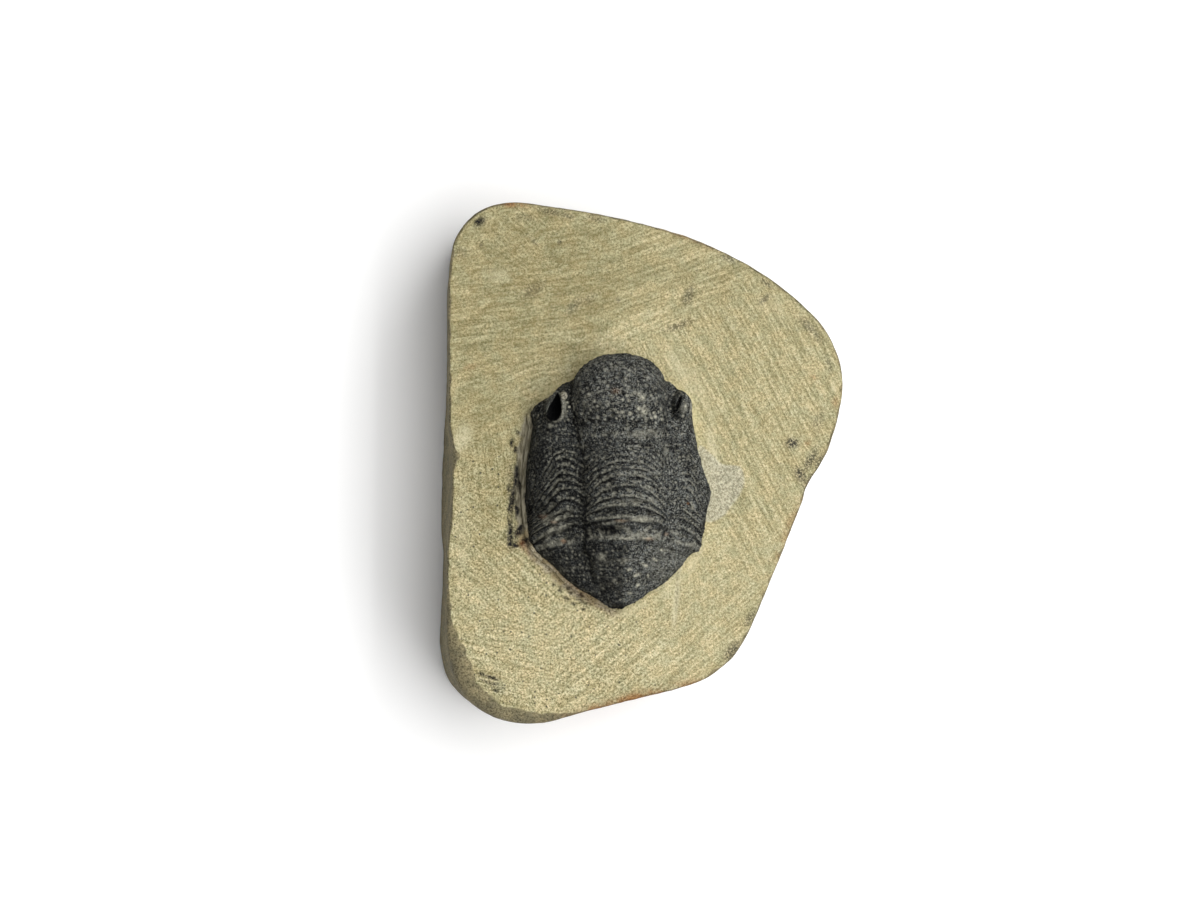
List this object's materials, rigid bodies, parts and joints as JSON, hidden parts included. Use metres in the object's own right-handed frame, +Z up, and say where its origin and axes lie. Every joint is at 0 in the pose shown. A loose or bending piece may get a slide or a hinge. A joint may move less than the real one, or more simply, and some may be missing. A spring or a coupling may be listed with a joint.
{
  "type": "trilobite fossil",
  "caption": "Dark trilobite fossil with a domed head, ringed body and pointed tail, lying on a pale scraped block of matrix with a flat underside.",
  "frame": {"origin": "middle of the bounding box of the block's flat underside, on the surface it rests on", "axes": "+Y towards the trilobite's head, along the block's length; +Z up, out of the face that carries the fossil; +X to the right seen from above"},
  "size_m": [0.0526, 0.069, 0.0314],
  "materials": {
    "matrix_stone": "matte",
    "fossil": "matte"
  },
  "bodies": {
    "root": {"matrix": "matrix_stone", "trilobite": "fossil"}
  },
  "joints": []
}
